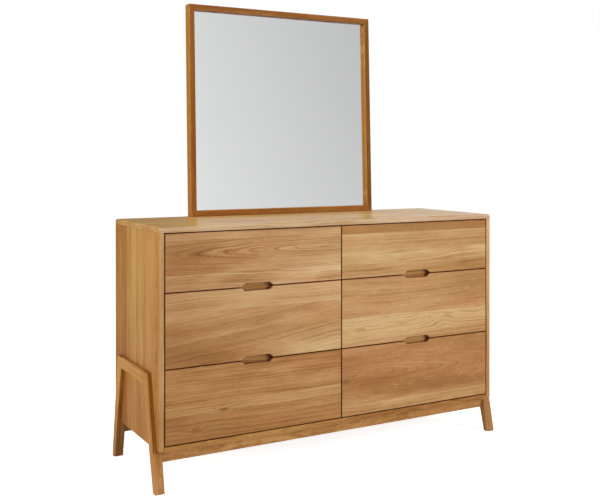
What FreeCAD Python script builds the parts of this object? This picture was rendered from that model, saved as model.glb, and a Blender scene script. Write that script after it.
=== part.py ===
import FreeCAD, Part
import math
import os

# Six-drawer oak dresser on two splayed side trestles, with a leaning framed mirror on its top.
# Millimetres, +Z up. The model is drawn with the front plane of the carcass at y = 0, the floor at
# z = 0 and the middle of the width at x = 0; each piece is then moved so that the origin lies
# under the middle of the whole depth.

Vector = FreeCAD.Vector

# Carcass
carcass_width = 1400.0
carcass_depth = 460.0
top_height = 870.0
underside_height = 130.0
side_lift = 5.0
top_thickness = 18.0
side_thickness = 18.0
bottom_thickness = 18.0
divider_thickness = 18.0
back_thickness = 9.0
back_rebate = 9.0
top_end_radius = 9.0
board_arris = 1.0
back_rail_height = 60.0
back_rail_thickness = 18.0

# Drawer fronts, set in flush with the carcass
front_thickness = 18.0
front_gap = 3.5
upper_front_height = 194.0
front_arris = 1.5
front_stand_off = 2.0

# Finger cut-outs, shared by the fronts above and below a row joint
finger_length = 126.0
finger_flat = 96.0
finger_height = 27.0
finger_corner_radius = 4.0

# Rails behind the row joints
front_rail_height = 32.0
front_rail_depth = 40.0

# Drawer boxes
box_side_thickness = 12.0
box_back_thickness = 12.0
box_bottom_thickness = 6.0
box_lift = 16.0
box_drop = 26.0
back_drop = 8.0
groove_depth = 5.0
groove_lift = 12.0
groove_play = 0.2
front_lap = 6.0
tail_spacing = 48.0
pin_width = 7.0
tail_slope_share = 0.16

# Ball-bearing runners, three nested members each side
runner_length = 400.0
runner_thickness = 12.7
runner_height = 45.0
runner_steel = 1.2
runner_lip = 3.0
runner_play = 0.4
cabinet_member_reach = 9.6

# Trestles: two tapered legs and a rail on each side, halved under the side boards
leg_proud = 15.0
leg_foot_width = 25.0
leg_head_width = 48.0
front_foot_reach = 8.0
front_head_setback = 74.0
rear_foot_setback = 8.0
rear_head_setback = 70.0
trestle_height = 380.0
trestle_rail_height = 40.0
trestle_arris = 1.5
tenon_length = 18.0
tenon_thickness = 8.0
tenon_shoulder = 6.0

# Aprons between the legs, under the bottom board
apron_height = 38.0
apron_thickness = 18.0
front_apron_setback = 28.0
rear_apron_setback = 50.0

# Mirror
mirror_width = 826.0
mirror_height = 820.0
mirror_lean = 1.8
frame_face = 22.0
frame_depth = 38.0
frame_arris = 1.0
glass_recess = 18.0
glass_thickness = 4.0
glass_cover = 8.0
glass_play = 0.5
backing_thickness = 3.0
support_width = 60.0
support_thickness = 20.0
support_spacing = 500.0
support_drop = 270.0
support_top_drop = 2.0

# Screws through the supports, and bolts through the side boards into the trestles
screw_radius = 2.2
screw_length = 42.0
screw_head_radius = 4.5
screw_head_height = 2.5
screw_hole_play = 0.3
thread_play = 0.05
bolt_radius = 3.0
bolt_length = 28.0
bolt_head_radius = 7.0
bolt_head_height = 2.5
head_sides = 6
leg_bolt_height = 190.0

overrun = 5.0
tolerance_share = 0.01

# Sizes worked out from the ones above
half_width = carcass_width / 2
inner_half_width = half_width - side_thickness
top_underside = top_height - top_thickness
floor_board_top = underside_height + bottom_thickness
back_front_y = carcass_depth - back_thickness
inside_y = front_thickness + front_stand_off
runner_end = inside_y + runner_length
back_rail_y = back_front_y - back_rail_thickness
lower_front_height = (top_underside - floor_board_top - upper_front_height - 4 * front_gap) / 2
lower_joint = floor_board_top + front_gap + lower_front_height + front_gap / 2
upper_joint = lower_joint + lower_front_height + front_gap
support_foot = top_height - support_drop
lower_back_rail_z = support_foot + back_rail_height
upper_back_rail_z = top_underside
lean_sine = math.sin(math.radians(mirror_lean))
lean_cosine = math.cos(math.radians(mirror_lean))
frame_trim = frame_depth * math.tan(math.radians(mirror_lean))
top_screw_rise = mirror_height - (frame_face - glass_cover) / 2
rear_reach = (carcass_depth + (support_thickness + screw_head_height) * lean_cosine
              + (top_screw_rise + screw_head_radius) * lean_sine)
depth_middle = (rear_reach - front_foot_reach) / 2

os.makedirs("parts", exist_ok=True)


def save(name, *solids):
    """Move the solids of one node to the part's own frame and write them."""
    shape = solids[0] if len(solids) == 1 else Part.makeCompound(list(solids))
    shape = shape.copy()
    shape.translate(Vector(0, -depth_middle, 0))
    assert shape.isValid(), name
    shape.exportStep("parts/" + name + ".step")
    print(name, len(shape.Solids), "solid(s)", round(shape.Volume))


def block(x_range, y_range, z_range):
    low = Vector(min(x_range), min(y_range), min(z_range))
    return Part.makeBox(max(x_range) - low.x, max(y_range) - low.y, max(z_range) - low.z, low)


def prism_x(outline, x_range):
    """Extrude an outline of (y, z) points across the width."""
    points = [Vector(min(x_range), y, z) for y, z in outline]
    face = Part.Face(Part.makePolygon(points + points[:1]))
    return face.extrude(Vector(max(x_range) - min(x_range), 0, 0))


def prism_y(outline, y_range):
    """Extrude an outline of (x, z) points through the depth."""
    points = [Vector(x, min(y_range), z) for x, z in outline]
    face = Part.Face(Part.makePolygon(points + points[:1]))
    return face.extrude(Vector(0, max(y_range) - min(y_range), 0))


def rounded_wire(points, radii):
    """Close the points with straight lines, and with a tangent arc where a corner has a radius."""
    edges = []
    ends = []
    for index, point in enumerate(points):
        if not radii[index]:
            ends.append((point, point))
            continue
        to_last = (points[index - 1] - point).normalize()
        to_next = (points[(index + 1) % len(points)] - point).normalize()
        half_angle = to_last.getAngle(to_next) / 2
        reach = radii[index] / math.tan(half_angle)
        inward = (to_last + to_next).normalize()
        middle = point + inward * (radii[index] / math.sin(half_angle) - radii[index])
        start = point + to_last * reach
        end = point + to_next * reach
        ends.append((start, end))
        edges.append(Part.Arc(start, middle, end).toShape())
    for index in range(len(points)):
        leaving = ends[index][1]
        arriving = ends[(index + 1) % len(points)][0]
        edges.append(Part.LineSegment(leaving, arriving).toShape())
    return Part.Wire(Part.__sortEdges__(edges))


def eased(shape, size, wanted):
    """Bevel every edge whose bounding box passes the test, as a light pass with a plane does."""
    return shape.makeChamfer(size, [edge for edge in shape.Edges if wanted(edge.BoundBox)])


def same(first, second):
    return abs(first - second) < board_arris * tolerance_share


def mirrored(shape):
    return shape.mirror(Vector(0, 0, 0), Vector(1, 0, 0))


def bolt_places():
    """Centres (y, z) of the bolts that hold the two legs of a trestle to its side board."""
    return [(leg_middle(edges, leg_bolt_height), leg_bolt_height)
            for edges in (front_leg_edges(), rear_leg_edges())]


def along(edge, height):
    """The y of a sloping edge, given by its y at the floor and at the trestle's top."""
    foot, head = edge
    return foot + (head - foot) * height / trestle_height


def front_leg_edges():
    outer = (-front_foot_reach, front_head_setback)
    inner = (-front_foot_reach + leg_foot_width, front_head_setback + leg_head_width)
    return outer, inner


def rear_leg_edges():
    outer = (carcass_depth - rear_foot_setback, carcass_depth - rear_head_setback)
    inner = (outer[0] - leg_foot_width, outer[1] - leg_head_width)
    return outer, inner


def leg_middle(edges, height):
    return (along(edges[0], height) + along(edges[1], height)) / 2


def drilled(shape, radius, from_x, to_x):
    """Drill the trestle's bolt holes along the width."""
    for y, z in bolt_places():
        hole = Part.makeCylinder(radius, abs(to_x - from_x), Vector(min(from_x, to_x), y, z),
                                 Vector(1, 0, 0))
        shape = shape.cut(hole)
    return shape


def sided_head(seat, outward, corner_way, radius, height):
    """A bolt or screw head that stands on its seat, with one corner towards corner_way."""
    turns = [FreeCAD.Rotation(outward, 360 * side / head_sides) for side in range(head_sides)]
    corners = [seat + turn.multVec(corner_way) * radius for turn in turns]
    return Part.Face(Part.makePolygon(corners + corners[:1])).extrude(outward * height)


# Carcass boards
def top_panel():
    board = block((-half_width, half_width), (0, carcass_depth), (top_underside, top_height))

    def upper_end(box):
        return box.YLength > carcass_depth / 2 and same(box.ZMin, top_height)

    def front_outline(box):
        return same(box.YMax, 0)

    def lower_end(box):
        return box.YLength > carcass_depth / 2 and same(box.ZMax, top_underside)

    ends = [edge for edge in board.Edges if upper_end(edge.BoundBox)]
    board = board.makeFillet(top_end_radius, ends)
    return eased(board, board_arris, lambda box: front_outline(box) or lower_end(box))


def left_side_panel():
    board = block((-half_width, -inner_half_width), (0, carcass_depth),
                  (underside_height + side_lift, top_underside))

    def seen_edge(box):
        front_edge = same(box.YMax, 0) and box.ZLength > side_thickness
        top_edge = same(box.XMax, -half_width) and same(box.ZMin, top_underside)
        return front_edge or top_edge

    board = eased(board, board_arris, seen_edge)
    rebate = block((-half_width + back_rebate, -inner_half_width + overrun),
                   (back_front_y, carcass_depth + overrun),
                   (underside_height - overrun, top_underside + overrun))
    board = board.cut(rebate)
    return drilled(board, bolt_radius + screw_hole_play, -half_width - overrun,
                   -inner_half_width + overrun)


def bottom_panel():
    board = block((-inner_half_width, inner_half_width), (0, back_front_y),
                  (underside_height, floor_board_top))
    return eased(board, board_arris, lambda box: same(box.YMax, 0) and box.XLength > overrun)


def back_panel():
    reach = half_width - back_rebate
    return block((-reach, reach), (back_front_y, carcass_depth), (underside_height, top_underside))


def centre_divider():
    reach = divider_thickness / 2
    return block((-reach, reach), (inside_y, back_front_y), (floor_board_top, top_underside))


def column_piece(y_range, z_range):
    """A board across the left column, and its twin across the right one."""
    left = block((-inner_half_width, -divider_thickness / 2), y_range, z_range)
    return [left, mirrored(left)]


def front_rails(joint):
    return column_piece((inside_y, inside_y + front_rail_depth),
                        (joint - front_rail_height / 2, joint + front_rail_height / 2))


# Trestles and aprons
def leg(edges):
    outer, inner = edges
    outline = [(outer[0], 0), (inner[0], 0), (inner[1], trestle_height), (outer[1], trestle_height)]
    outer_x = -half_width - leg_proud
    post = prism_x(outline, (outer_x, -inner_half_width))
    post = eased(post, trestle_arris, lambda box: box.ZLength > trestle_height / 2)
    halving = block((-half_width, -inner_half_width + overrun),
                    (min(outer + inner) - overrun, max(outer + inner) + overrun),
                    (underside_height + side_lift, trestle_height + overrun))
    return post.cut(halving)


def trestle_rail():
    """The rail between the legs, with a tenon at each end."""
    low = trestle_height - trestle_rail_height
    front = front_leg_edges()[1]
    rear = rear_leg_edges()[1]
    outline = [(along(front, low), low), (along(rear, low), low),
               (along(rear, trestle_height), trestle_height),
               (along(front, trestle_height), trestle_height)]
    rail = prism_x(outline, (-half_width - leg_proud, -half_width))
    rail = eased(rail, trestle_arris, lambda box: box.YLength > leg_head_width)
    tenon_low = low + tenon_shoulder
    tenon_high = trestle_height - tenon_shoulder
    middle_x = -half_width - leg_proud / 2
    tenon_outline = [(along(front, tenon_low) - tenon_length, tenon_low),
                     (along(rear, tenon_low) + tenon_length, tenon_low),
                     (along(rear, tenon_high) + tenon_length, tenon_high),
                     (along(front, tenon_high) - tenon_length, tenon_high)]
    tenon = prism_x(tenon_outline, (middle_x - tenon_thickness / 2, middle_x + tenon_thickness / 2))
    return rail.fuse(tenon).removeSplitter()


def bolts():
    """Bolts with flat heads inside the carcass, for the left trestle."""
    pieces = []
    for y, z in bolt_places():
        seat = Vector(-inner_half_width, y, z)
        shank = Part.makeCylinder(bolt_radius, bolt_length, seat, Vector(-1, 0, 0))
        head = sided_head(seat, Vector(1, 0, 0), Vector(0, 0, 1), bolt_head_radius, bolt_head_height)
        pieces.append(shank.fuse(head))
    return pieces


def apron(front_y):
    board = block((-inner_half_width, inner_half_width), (front_y, front_y + apron_thickness),
                  (underside_height - apron_height, underside_height))
    low = underside_height - apron_height
    return eased(board, board_arris, lambda box: same(box.ZMax, low) and box.XLength > carcass_depth)


# Drawers
def front_outline_points(low, high, reach, notch_below, notch_above):
    """Corners of a drawer front as (x, z, radius), clockwise from the lower left."""
    notch_depth = (finger_height - front_gap) / 2
    slope = (finger_length - finger_flat) / finger_height
    mouth = finger_length / 2 - slope * front_gap / 2
    flat = finger_flat / 2
    above = [(-mouth, high, 0), (-flat, high - notch_depth, finger_corner_radius),
             (flat, high - notch_depth, finger_corner_radius), (mouth, high, 0)]
    below = [(mouth, low, 0), (flat, low + notch_depth, finger_corner_radius),
             (-flat, low + notch_depth, finger_corner_radius), (-mouth, low, 0)]
    corners = [(-reach, low, 0), (-reach, high, 0)]
    if notch_above:
        corners += above
    corners += [(reach, high, 0), (reach, low, 0)]
    if notch_below:
        corners += below
    return corners


def drawer_front(middle_x, low, high, notch_below, notch_above):
    reach = (inner_half_width - 1.5 * front_gap) / 2
    corners = front_outline_points(low, high, reach, notch_below, notch_above)
    points = [Vector(middle_x + x, 0, z) for x, z, radius in corners]
    radii = [radius for x, z, radius in corners]
    board = Part.Face(rounded_wire(points, radii)).extrude(Vector(0, front_thickness, 0))
    return eased(board, front_arris, lambda box: same(box.YMax, 0))


def tailed_edge(end_y, shoulder_y, low, high):
    """Points (y, z) up the end of a side board that is cut into dovetails."""
    tails = max(1, round((high - low) / tail_spacing))
    narrow = pin_width / 2
    wide = narrow + tail_slope_share * abs(end_y - shoulder_y)
    step = (high - low) / tails
    points = [(shoulder_y, low)]
    for tail in range(tails):
        below = low + tail * step
        above = below + step
        points += [(shoulder_y, below + wide), (end_y, below + narrow),
                   (end_y, above - narrow), (shoulder_y, above - wide)]
    return points + [(shoulder_y, high)]


def drawer_side(outer_x, inward, low, high):
    """One box side: blind dovetails at the front, through dovetails at the back, bottom groove."""
    back_low = low + groove_lift + box_bottom_thickness
    back_high = high - back_drop
    front_edge = tailed_edge(front_lap, front_thickness, low, high)
    rear_edge = tailed_edge(runner_end, runner_end - box_back_thickness, back_low, back_high)
    rear_edge = [(runner_end, low), (runner_end, back_low)] + rear_edge
    rear_edge += [(runner_end, back_high), (runner_end, high)]
    board = prism_x(front_edge + rear_edge[::-1], (outer_x, outer_x + inward * box_side_thickness))
    inner_x = outer_x + inward * box_side_thickness
    groove = block((inner_x - inward * groove_depth, inner_x + inward * overrun),
                   (front_thickness - groove_depth, runner_end + overrun),
                   (low + groove_lift, low + groove_lift + box_bottom_thickness + groove_play))
    return board.cut(groove)


def drawer_bottom(inner_left, inner_right, low):
    reach = groove_depth - groove_play
    level = low + groove_lift
    return block((inner_left - reach, inner_right + reach),
                 (front_thickness - reach, runner_end), (level, level + box_bottom_thickness))


def channel(outline, wall_x, inward):
    """A rolled steel member; the outline's first value is its distance from the wall."""
    return prism_y([(wall_x + inward * u, z) for u, z in outline], (inside_y, runner_end))


def lipped_channel(foot, reach, half_height, middle_z):
    steel = runner_steel
    upper = [(foot, half_height), (reach, half_height), (reach, half_height - runner_lip),
             (reach - steel, half_height - runner_lip), (reach - steel, half_height - steel),
             (foot + steel, half_height - steel)]
    lower = [(u, -z) for u, z in upper[::-1]]
    return [(u, middle_z + z) for u, z in upper + lower]


def runner_members(wall_x, inward, middle_z):
    """Cabinet, middle and drawer members of one runner, nested with a running play."""
    steel = runner_steel
    half = runner_height / 2
    cabinet = lipped_channel(0, cabinet_member_reach, half, middle_z)
    middle_foot = steel + runner_play
    middle_half = half - runner_lip - runner_play
    middle_reach = runner_thickness - steel - runner_play
    middle = lipped_channel(middle_foot, middle_reach, middle_half, middle_z)
    web = runner_thickness
    flange_end = middle_foot + steel + runner_play
    drawer_half = middle_half - runner_lip - runner_play
    upper = [(web, drawer_half), (flange_end, drawer_half), (flange_end, drawer_half - steel),
             (web - steel, drawer_half - steel)]
    lower = [(u, -z) for u, z in upper[::-1]]
    drawer = [(u, middle_z + z) for u, z in upper + lower]
    return [channel(outline, wall_x, inward) for outline in (cabinet, middle, drawer)]


def drawer(name, side, low, high, notch_below, notch_above):
    """Write one drawer's nodes and return its cabinet members. side is -1 on the left, 1 right."""
    middle_x = side * (front_gap / 2 + inner_half_width - front_gap) / 2
    outer_wall = side * inner_half_width
    divider_face = side * divider_thickness / 2
    walls = sorted((outer_wall, divider_face))
    left = walls[0] + runner_thickness
    right = walls[1] - runner_thickness
    box_low = low + box_lift
    box_high = high - box_drop
    middle_z = (box_low + box_high) / 2

    sides = [drawer_side(left, 1, box_low, box_high), drawer_side(right, -1, box_low, box_high)]
    back_low = box_low + groove_lift + box_bottom_thickness
    back = block((left, right), (runner_end - box_back_thickness, runner_end),
                 (back_low, box_high - back_drop))
    front = drawer_front(middle_x, low, high, notch_below, notch_above)
    for board in sides:
        back = back.cut(board)
        front = front.cut(board)
    inner_left = left + box_side_thickness
    inner_right = right - box_side_thickness
    bottom = drawer_bottom(inner_left, inner_right, box_low)
    bed = block((inner_left - groove_depth, inner_right + groove_depth),
                (front_thickness - groove_depth, front_thickness + overrun),
                (box_low + groove_lift, box_low + groove_lift + box_bottom_thickness + groove_play))
    front = front.cut(bed)

    left_set = runner_members(walls[0], 1, middle_z)
    right_set = runner_members(walls[1], -1, middle_z)
    save(name + "_front", front)
    save(name + "_box_walls", sides[0], sides[1], back)
    save(name + "_box_bottom", bottom)
    save(name + "_drawer_runners", left_set[2], right_set[2])
    save(name + "_middle_runners", left_set[1], right_set[1])
    return [left_set[0], right_set[0]]


# Mirror, drawn upright against the rear plane and then leaned back about its lower rear edge
def leaned(shape):
    shape = shape.copy()
    shape.rotate(Vector(0, carcass_depth, top_height), Vector(1, 0, 0), -mirror_lean)
    below_top = block((-half_width, half_width), (0, rear_reach + overrun),
                      (support_foot, top_height))
    return shape.cut(below_top)


def frame_front_y():
    return carcass_depth - frame_depth


def frame_piece(outline, wanted):
    """A mitred piece of the frame, rebated for the glass from behind."""
    front_y = frame_front_y()
    low = top_height
    piece = prism_y([(x, low + z) for x, z in outline], (front_y, carcass_depth))
    piece = eased(piece, frame_arris, wanted)
    opening = mirror_width / 2 - frame_face + glass_cover
    pocket = block((-opening, opening), (front_y + glass_recess, carcass_depth + overrun),
                   (low + frame_face - glass_cover, low + mirror_height - frame_face + glass_cover))
    return piece.cut(pocket)


def long_front_edge(length):
    def wanted(box):
        return same(box.YMax, frame_front_y()) and max(box.XLength, box.ZLength) > length
    return wanted


def frame_outlines():
    half = mirror_width / 2
    inner = half - frame_face
    low = -frame_trim
    high = mirror_height
    stile = [(-half, low), (-half, high), (-inner, high - frame_face), (-inner, frame_face)]
    upper = [(-half, high), (half, high), (inner, high - frame_face), (-inner, high - frame_face)]
    lower = [(-half, low), (half, low), (inner, frame_face), (-inner, frame_face)]
    return stile, upper, lower


def glass_sheet(depth_from_front, thickness):
    reach = mirror_width / 2 - frame_face + glass_cover - glass_play
    front_y = frame_front_y() + depth_from_front
    edge = frame_face - glass_cover + glass_play
    return block((-reach, reach), (front_y, front_y + thickness),
                 (top_height + edge, top_height + mirror_height - edge))


def leaning_point(backward, upward):
    """A point (y, z) measured from the mirror's lower rear edge, along the leaning frame."""
    return (carcass_depth + backward * lean_cosine + upward * lean_sine,
            top_height + upward * lean_cosine - backward * lean_sine)


def support(middle_x):
    """A batten, upright against the dresser's back and leaning with the mirror above."""
    reach = mirror_height - support_top_drop
    rear_foot_y = carcass_depth + support_thickness / lean_cosine - support_drop * lean_sine / lean_cosine
    outline = [leaning_point(0, reach), (carcass_depth, top_height),
               (carcass_depth, support_foot), (rear_foot_y, support_foot),
               leaning_point(support_thickness, reach)]
    return prism_x(outline, (middle_x - support_width / 2, middle_x + support_width / 2))


def screw_places():
    """Centres (x, height along the lean) of the screws in the two supports."""
    heights = [lower_back_rail_z - back_rail_height / 2 - top_height,
               upper_back_rail_z - back_rail_height / 2 - top_height,
               mirror_height - top_screw_rise, top_screw_rise]
    return [(x, height) for x in (-support_spacing / 2, support_spacing / 2) for height in heights]


def screw_axis(x, height):
    y, z = leaning_point(support_thickness, height)
    return Vector(x, y, z), Vector(0, -lean_cosine, lean_sine)


def screw_cylinder(place, radius, length, outward=0):
    start, inward = screw_axis(*place)
    return Part.makeCylinder(radius, length, start - inward * outward, inward)


def with_pilot_holes(piece):
    for place in screw_places():
        piece = piece.cut(screw_cylinder(place, screw_radius + thread_play, screw_length + thread_play))
    return piece


def screws():
    pieces = []
    for place in screw_places():
        shank = screw_cylinder(place, screw_radius, screw_length)
        start, inward = screw_axis(*place)
        upward = Vector(0, lean_sine, lean_cosine)
        head = sided_head(start, inward * -1, upward, screw_head_radius, screw_head_height)
        pieces.append(shank.fuse(head))
    return pieces


def support_with_holes(middle_x):
    piece = support(middle_x)
    for place in screw_places():
        hole = screw_cylinder(place, screw_radius + screw_hole_play, screw_length, overrun)
        piece = piece.cut(hole)
    return piece


# Write the carcass
side_board = left_side_panel()
save("top_panel", top_panel())
save("left_side_panel", side_board)
save("right_side_panel", mirrored(side_board))
save("bottom_panel", bottom_panel())
save("centre_divider", centre_divider())
save("back_panel", with_pilot_holes(back_panel()))
lower_rails = column_piece((back_rail_y, back_front_y),
                           (lower_back_rail_z - back_rail_height, lower_back_rail_z))
upper_rails = column_piece((back_rail_y, back_front_y),
                           (upper_back_rail_z - back_rail_height, upper_back_rail_z))
save("back_rails", *[with_pilot_holes(rail) for rail in lower_rails + upper_rails])
save("lower_front_rails", *front_rails(lower_joint))
save("upper_front_rails", *front_rails(upper_joint))

# Write the trestles
rail = trestle_rail()
bolt_end = -inner_half_width - bolt_length
threaded = bolt_radius + thread_play
front_leg = drilled(leg(front_leg_edges()).cut(rail), threaded, bolt_end, -half_width + overrun)
rear_leg = drilled(leg(rear_leg_edges()).cut(rail), threaded, bolt_end, -half_width + overrun)
for name, piece in (("front_leg", front_leg), ("rear_leg", rear_leg), ("leg_rail", rail)):
    save("left_" + name, piece)
    save("right_" + name, mirrored(piece))
left_bolts = bolts()
save("base_bolts", *(left_bolts + [mirrored(bolt) for bolt in left_bolts]))
save("front_apron", apron(front_apron_setback))
save("rear_apron", apron(carcass_depth - rear_apron_setback))

# Write the drawers
bottom_row = (floor_board_top + front_gap, lower_joint - front_gap / 2, False, True)
middle_row = (lower_joint + front_gap / 2, upper_joint - front_gap / 2, True, True)
top_row = (upper_joint + front_gap / 2, top_underside - front_gap, True, False)
for side, column in ((-1, "left"), (1, "right")):
    cabinet_members = []
    for row, limits in (("top", top_row), ("middle", middle_row), ("bottom", bottom_row)):
        cabinet_members += drawer(row + "_" + column, side, *limits)
    save(column + "_cabinet_runners", *cabinet_members)

# Write the mirror
stile_outline, top_outline, bottom_outline = frame_outlines()
stile = leaned(frame_piece(stile_outline, long_front_edge(mirror_height / 2)))
save("mirror_left_stile", stile)
save("mirror_right_stile", mirrored(stile))
for name, outline in (("mirror_top_rail", top_outline), ("mirror_bottom_rail", bottom_outline)):
    save(name, with_pilot_holes(leaned(frame_piece(outline, long_front_edge(mirror_width / 2)))))
save("mirror_glass", leaned(glass_sheet(glass_recess, glass_thickness)))
save("mirror_backing", leaned(glass_sheet(glass_recess + glass_thickness, backing_thickness)))
save("mirror_supports", *[support_with_holes(x) for x in (-support_spacing / 2, support_spacing / 2)])
save("mirror_screws", *screws())

print("origin", round(depth_middle, 3), "mm behind the front plane of the carcass")
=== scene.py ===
import math
import bmesh
import bpy
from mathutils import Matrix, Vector


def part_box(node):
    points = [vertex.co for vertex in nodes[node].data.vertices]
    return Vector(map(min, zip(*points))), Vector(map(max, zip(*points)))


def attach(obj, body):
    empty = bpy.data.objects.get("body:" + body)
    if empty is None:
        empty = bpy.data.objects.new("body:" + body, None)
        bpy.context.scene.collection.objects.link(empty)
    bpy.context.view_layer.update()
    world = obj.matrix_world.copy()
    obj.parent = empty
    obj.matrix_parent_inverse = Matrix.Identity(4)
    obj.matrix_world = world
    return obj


# A low oak dresser with a framed mirror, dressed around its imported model. Metres, +Z up, front towards -Y.
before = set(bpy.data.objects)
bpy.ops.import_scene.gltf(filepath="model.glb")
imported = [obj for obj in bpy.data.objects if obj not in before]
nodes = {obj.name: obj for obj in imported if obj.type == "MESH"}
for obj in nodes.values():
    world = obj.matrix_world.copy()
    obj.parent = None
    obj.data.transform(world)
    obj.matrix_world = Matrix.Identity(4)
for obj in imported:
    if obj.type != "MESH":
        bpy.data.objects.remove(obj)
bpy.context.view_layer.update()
print("frame loaded:", len(nodes), "pieces of the model")


# Small helpers for joining shader nodes
def feed(tree, socket, value):
    if isinstance(value, bpy.types.NodeSocket):
        tree.links.new(value, socket)
    elif value is not None:
        socket.default_value = value


def maths(tree, operation, first, second=0.0, third=0.0):
    node = tree.nodes.new("ShaderNodeMath")
    node.operation = operation
    for socket, value in zip(node.inputs, (first, second, third)):
        feed(tree, socket, value)
    return node.outputs[0]


def remap(tree, value, fromLow, fromHigh, toLow=0.0, toHigh=1.0, kind="SMOOTHSTEP"):
    node = tree.nodes.new("ShaderNodeMapRange")
    node.interpolation_type = kind
    for socket, item in zip(node.inputs, (value, fromLow, fromHigh, toLow, toHigh)):
        feed(tree, socket, item)
    return node.outputs[0]


def stretched(tree, place, along, across, through, shift=(0.0, 0.0, 0.0)):  # scales a place, then slides it
    scale = tree.nodes.new("ShaderNodeVectorMath")
    scale.operation = "MULTIPLY_ADD"
    feed(tree, scale.inputs[0], place)
    scale.inputs[1].default_value = (along, across, through)
    feed(tree, scale.inputs[2], shift)
    return scale.outputs[0]


noiseRange = (0.3, 0.7)  # where most of a noise's values lie


def cloud(tree, place, detail=2.0, roughness=0.5):
    node = tree.nodes.new("ShaderNodeTexNoise")
    feed(tree, node.inputs["Vector"], place)
    node.inputs["Scale"].default_value = 1.0
    node.inputs["Detail"].default_value = detail
    node.inputs["Roughness"].default_value = roughness
    return node.outputs[0]


def swing(tree, value, amount, base):  # adds a noise about its middle, times an amount
    return maths(tree, "MULTIPLY_ADD", maths(tree, "SUBTRACT", value, 0.5), amount, base)


def split(tree, vector):
    node = tree.nodes.new("ShaderNodeSeparateXYZ")
    feed(tree, node.inputs[0], vector)
    return node.outputs


def joinUp(tree, x, y, z):
    node = tree.nodes.new("ShaderNodeCombineXYZ")
    for socket, value in zip(node.inputs, (x, y, z)):
        feed(tree, socket, value)
    return node.outputs[0]


def mixed(tree, factor, first, second, blend="MIX"):
    node = tree.nodes.new("ShaderNodeMix")
    node.data_type = "RGBA"
    node.blend_type = blend
    colours = [socket for socket in node.inputs if socket.type == "RGBA"]
    feed(tree, node.inputs[0], factor)
    feed(tree, colours[0], first)
    feed(tree, colours[1], second)
    return [socket for socket in node.outputs if socket.type == "RGBA"][0]


def tinted(tree, share, colour, tint):
    return mixed(tree, share, colour, mixed(tree, 1.0, colour, (*tint, 1.0), "MULTIPLY"))


def ramp(tree, factor, stops):
    node = tree.nodes.new("ShaderNodeValToRGB")
    feed(tree, node.inputs[0], factor)
    items = node.color_ramp.elements
    while len(items) < len(stops):
        items.new(1.0)
    for item, (position, colour) in zip(items, stops):
        item.position = position
        item.color = (*colour, 1.0)
    return node.outputs[0]


def newMaterial(name):
    material = bpy.data.materials.new(name)
    material.use_nodes = True
    shader = material.node_tree.nodes["Principled BSDF"]
    return material, material.node_tree, shader


def relief(tree, shader, height, distance, strength=0.6):
    bump = tree.nodes.new("ShaderNodeBump")
    bump.inputs["Strength"].default_value = strength
    bump.inputs["Distance"].default_value = distance
    feed(tree, bump.inputs["Height"], height)
    feed(tree, shader.inputs["Normal"], bump.outputs[0])


def dress(name, material):
    slots = nodes[name].data.materials
    slots.clear()
    slots.append(material)


# Oak, as a solid cut from a log: rings about a leaning pith, pores in the early wood, and ray flecks.
# Each patch is a noise's range and what it turns into, and each facing is how squarely a face meets an axis
oak = {
    "tones": [(0.10, (0.215, 0.078, 0.016)), (0.28, (0.295, 0.120, 0.028)), (0.41, (0.370, 0.164, 0.044)),
              (0.51, (0.460, 0.228, 0.078)), (0.61, (0.545, 0.300, 0.118)), (0.74, (0.625, 0.380, 0.168)),
              (0.95, (0.690, 0.460, 0.235))],
    "rosy": (1.03, 0.93, 0.94),
    "olive": (0.985, 1.045, 1.00),
    "cool": (1.0, 1.06, 1.6),
    "rosyPatch": (0.35, 0.7, -0.3, 0.7),
    "poreColour": (0.120, 0.046, 0.014, 1.0),
    "fleckColour": (0.680, 0.440, 0.215, 1.0),
    "knotColour": (0.215, 0.080, 0.015, 1.0),
    "endColour": (0.86, 0.78, 0.70),
    # painted highlight: the eased edges are painted paler with this colour
    "arrisColour": (1.45, 1.42, 1.40),
    "endTone": -0.08,
    "endCalm": 0.85,
    "seedSlide": (17.3, 5.1),  # how far one seed slides the noises along and across
    "swirlAcross": 2.0,
    "tremble": 0.0016,
    "earlyEnd": 0.34,  # shares of a year's ring
    "lateStart": 0.92,
    "years": {"scale": 70.0, "detail": 3.0, "roughness": 0.6},
    "lift": 0.040,
    "swings": {"broad": 0.33, "mottle": 0.18, "year": 0.13, "streak": 0.11, "dash": 0.18, "fibre": 0.17},
    "ringShade": 0.25,
    "ringPatch": (0.35, 0.65, 0.25, 1.0),
    "lineShade": 0.17,
    "lineWidth": 0.045,
    "linePatch": (0.35, 0.60, 0.15, 1.0),
    "rays": (0.62, 0.73),
    "rayPatch": (0.40, 0.6, 1.0, 0.2),
    "pores": (0.60, 0.70),
    "poreShares": (0.55, 0.12),  # in the early wood, and everywhere
    "roughness": (0.38, 0.52),
    "poreRoughness": 0.25,
    "fibreRelief": 0.25,
    "earlyRelief": -0.15,
    "grainDepth": 0.00025,
    "endFacing": (0.7, 0.95),
    "sideFacing": (0.5, 0.8),
    # painted highlight: how squarely a face must meet two axes at once to count as an eased edge
    "arrisSkew": (0.32, 0.45),
    # painted shade: how far the occlusion reaches, and its samples, when the wood is darkened in gaps and
    # where pieces touch
    "creviceReach": 0.018,
    "creviceSamples": 6,
    "glueReach": 0.0008,
    "faceBlend": 0.03,
    "plies": [(0.30, (0.33, 0.18, 0.075)), (0.70, (0.56, 0.38, 0.20))],
    "plyGrain": (90.0, 90.0, 900.0),
    "plySwing": 0.5,
}
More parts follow.
